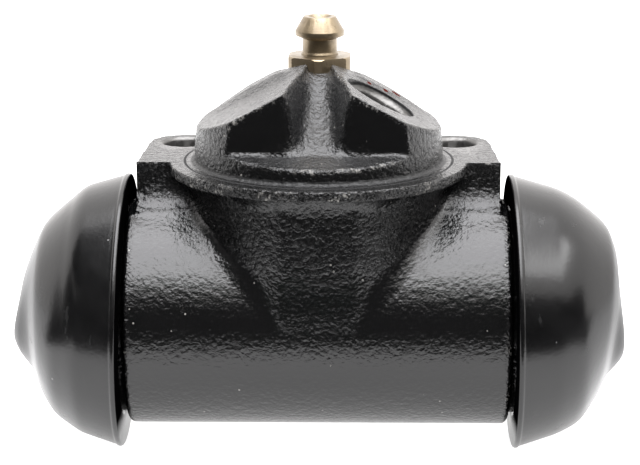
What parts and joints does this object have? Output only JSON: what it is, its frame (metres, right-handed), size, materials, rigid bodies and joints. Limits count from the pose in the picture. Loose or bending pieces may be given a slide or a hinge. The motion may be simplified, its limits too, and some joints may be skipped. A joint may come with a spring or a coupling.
{
  "type": "wheel cylinder",
  "caption": "Drum brake wheel cylinder: painted cast body with round pilot, angled port block, bolt ears, bleeder screw, opposed pistons and rubber dust boots.",
  "frame": {"origin": "where the pilot's axis meets the mounting face", "axes": "+X along the bore, +Z out of the mounting face along the pilot, +Y towards the bolt holes and the bleeder screw"},
  "size_m": [0.0928, 0.045, 0.0648],
  "materials": {
    "black_paint": "gloss black paint over sand-cast iron, worn to grey on the machined faces",
    "yellow_zinc": "turned steel with a pale yellow zinc finish",
    "piston_alloy": "turned, plain",
    "cup_rubber": "smooth moulded",
    "plated_steel": "pressed, zinc plated",
    "spring_steel": "drawn wire",
    "boot_rubber": "satin moulded rubber"
  },
  "bodies": {
    "cylinder": {"cylinder_body": "black_paint", "left_boot": "boot_rubber", "right_boot": "boot_rubber", "return_spring": "spring_steel"},
    "left_piston_group": {"left_piston": "piston_alloy", "left_cup": "cup_rubber", "left_cup_expander": "plated_steel"},
    "right_piston_group": {"right_piston": "piston_alloy", "right_cup": "cup_rubber", "right_cup_expander": "plated_steel"},
    "bleeder": {"bleeder_screw": "yellow_zinc"}
  },
  "joints": [
    {"name": "left_piston_slide", "type": "slide", "parent": "cylinder", "child": "left_piston_group", "axis": [-1, 0, 0], "range_m": [-0.003, 0.0055], "deforming": ["return_spring"]},
    {"name": "right_piston_slide", "type": "slide", "parent": "cylinder", "child": "right_piston_group", "axis": [1, 0, 0], "range_m": [-0.003, 0.0055], "deforming": ["return_spring"]},
    {"name": "bleeder_turn", "type": "hinge", "parent": "cylinder", "child": "bleeder", "pos_m": [0, 0.0114, 0], "axis": [0, 0, 1], "range_deg": [0, 270]}
  ]
}
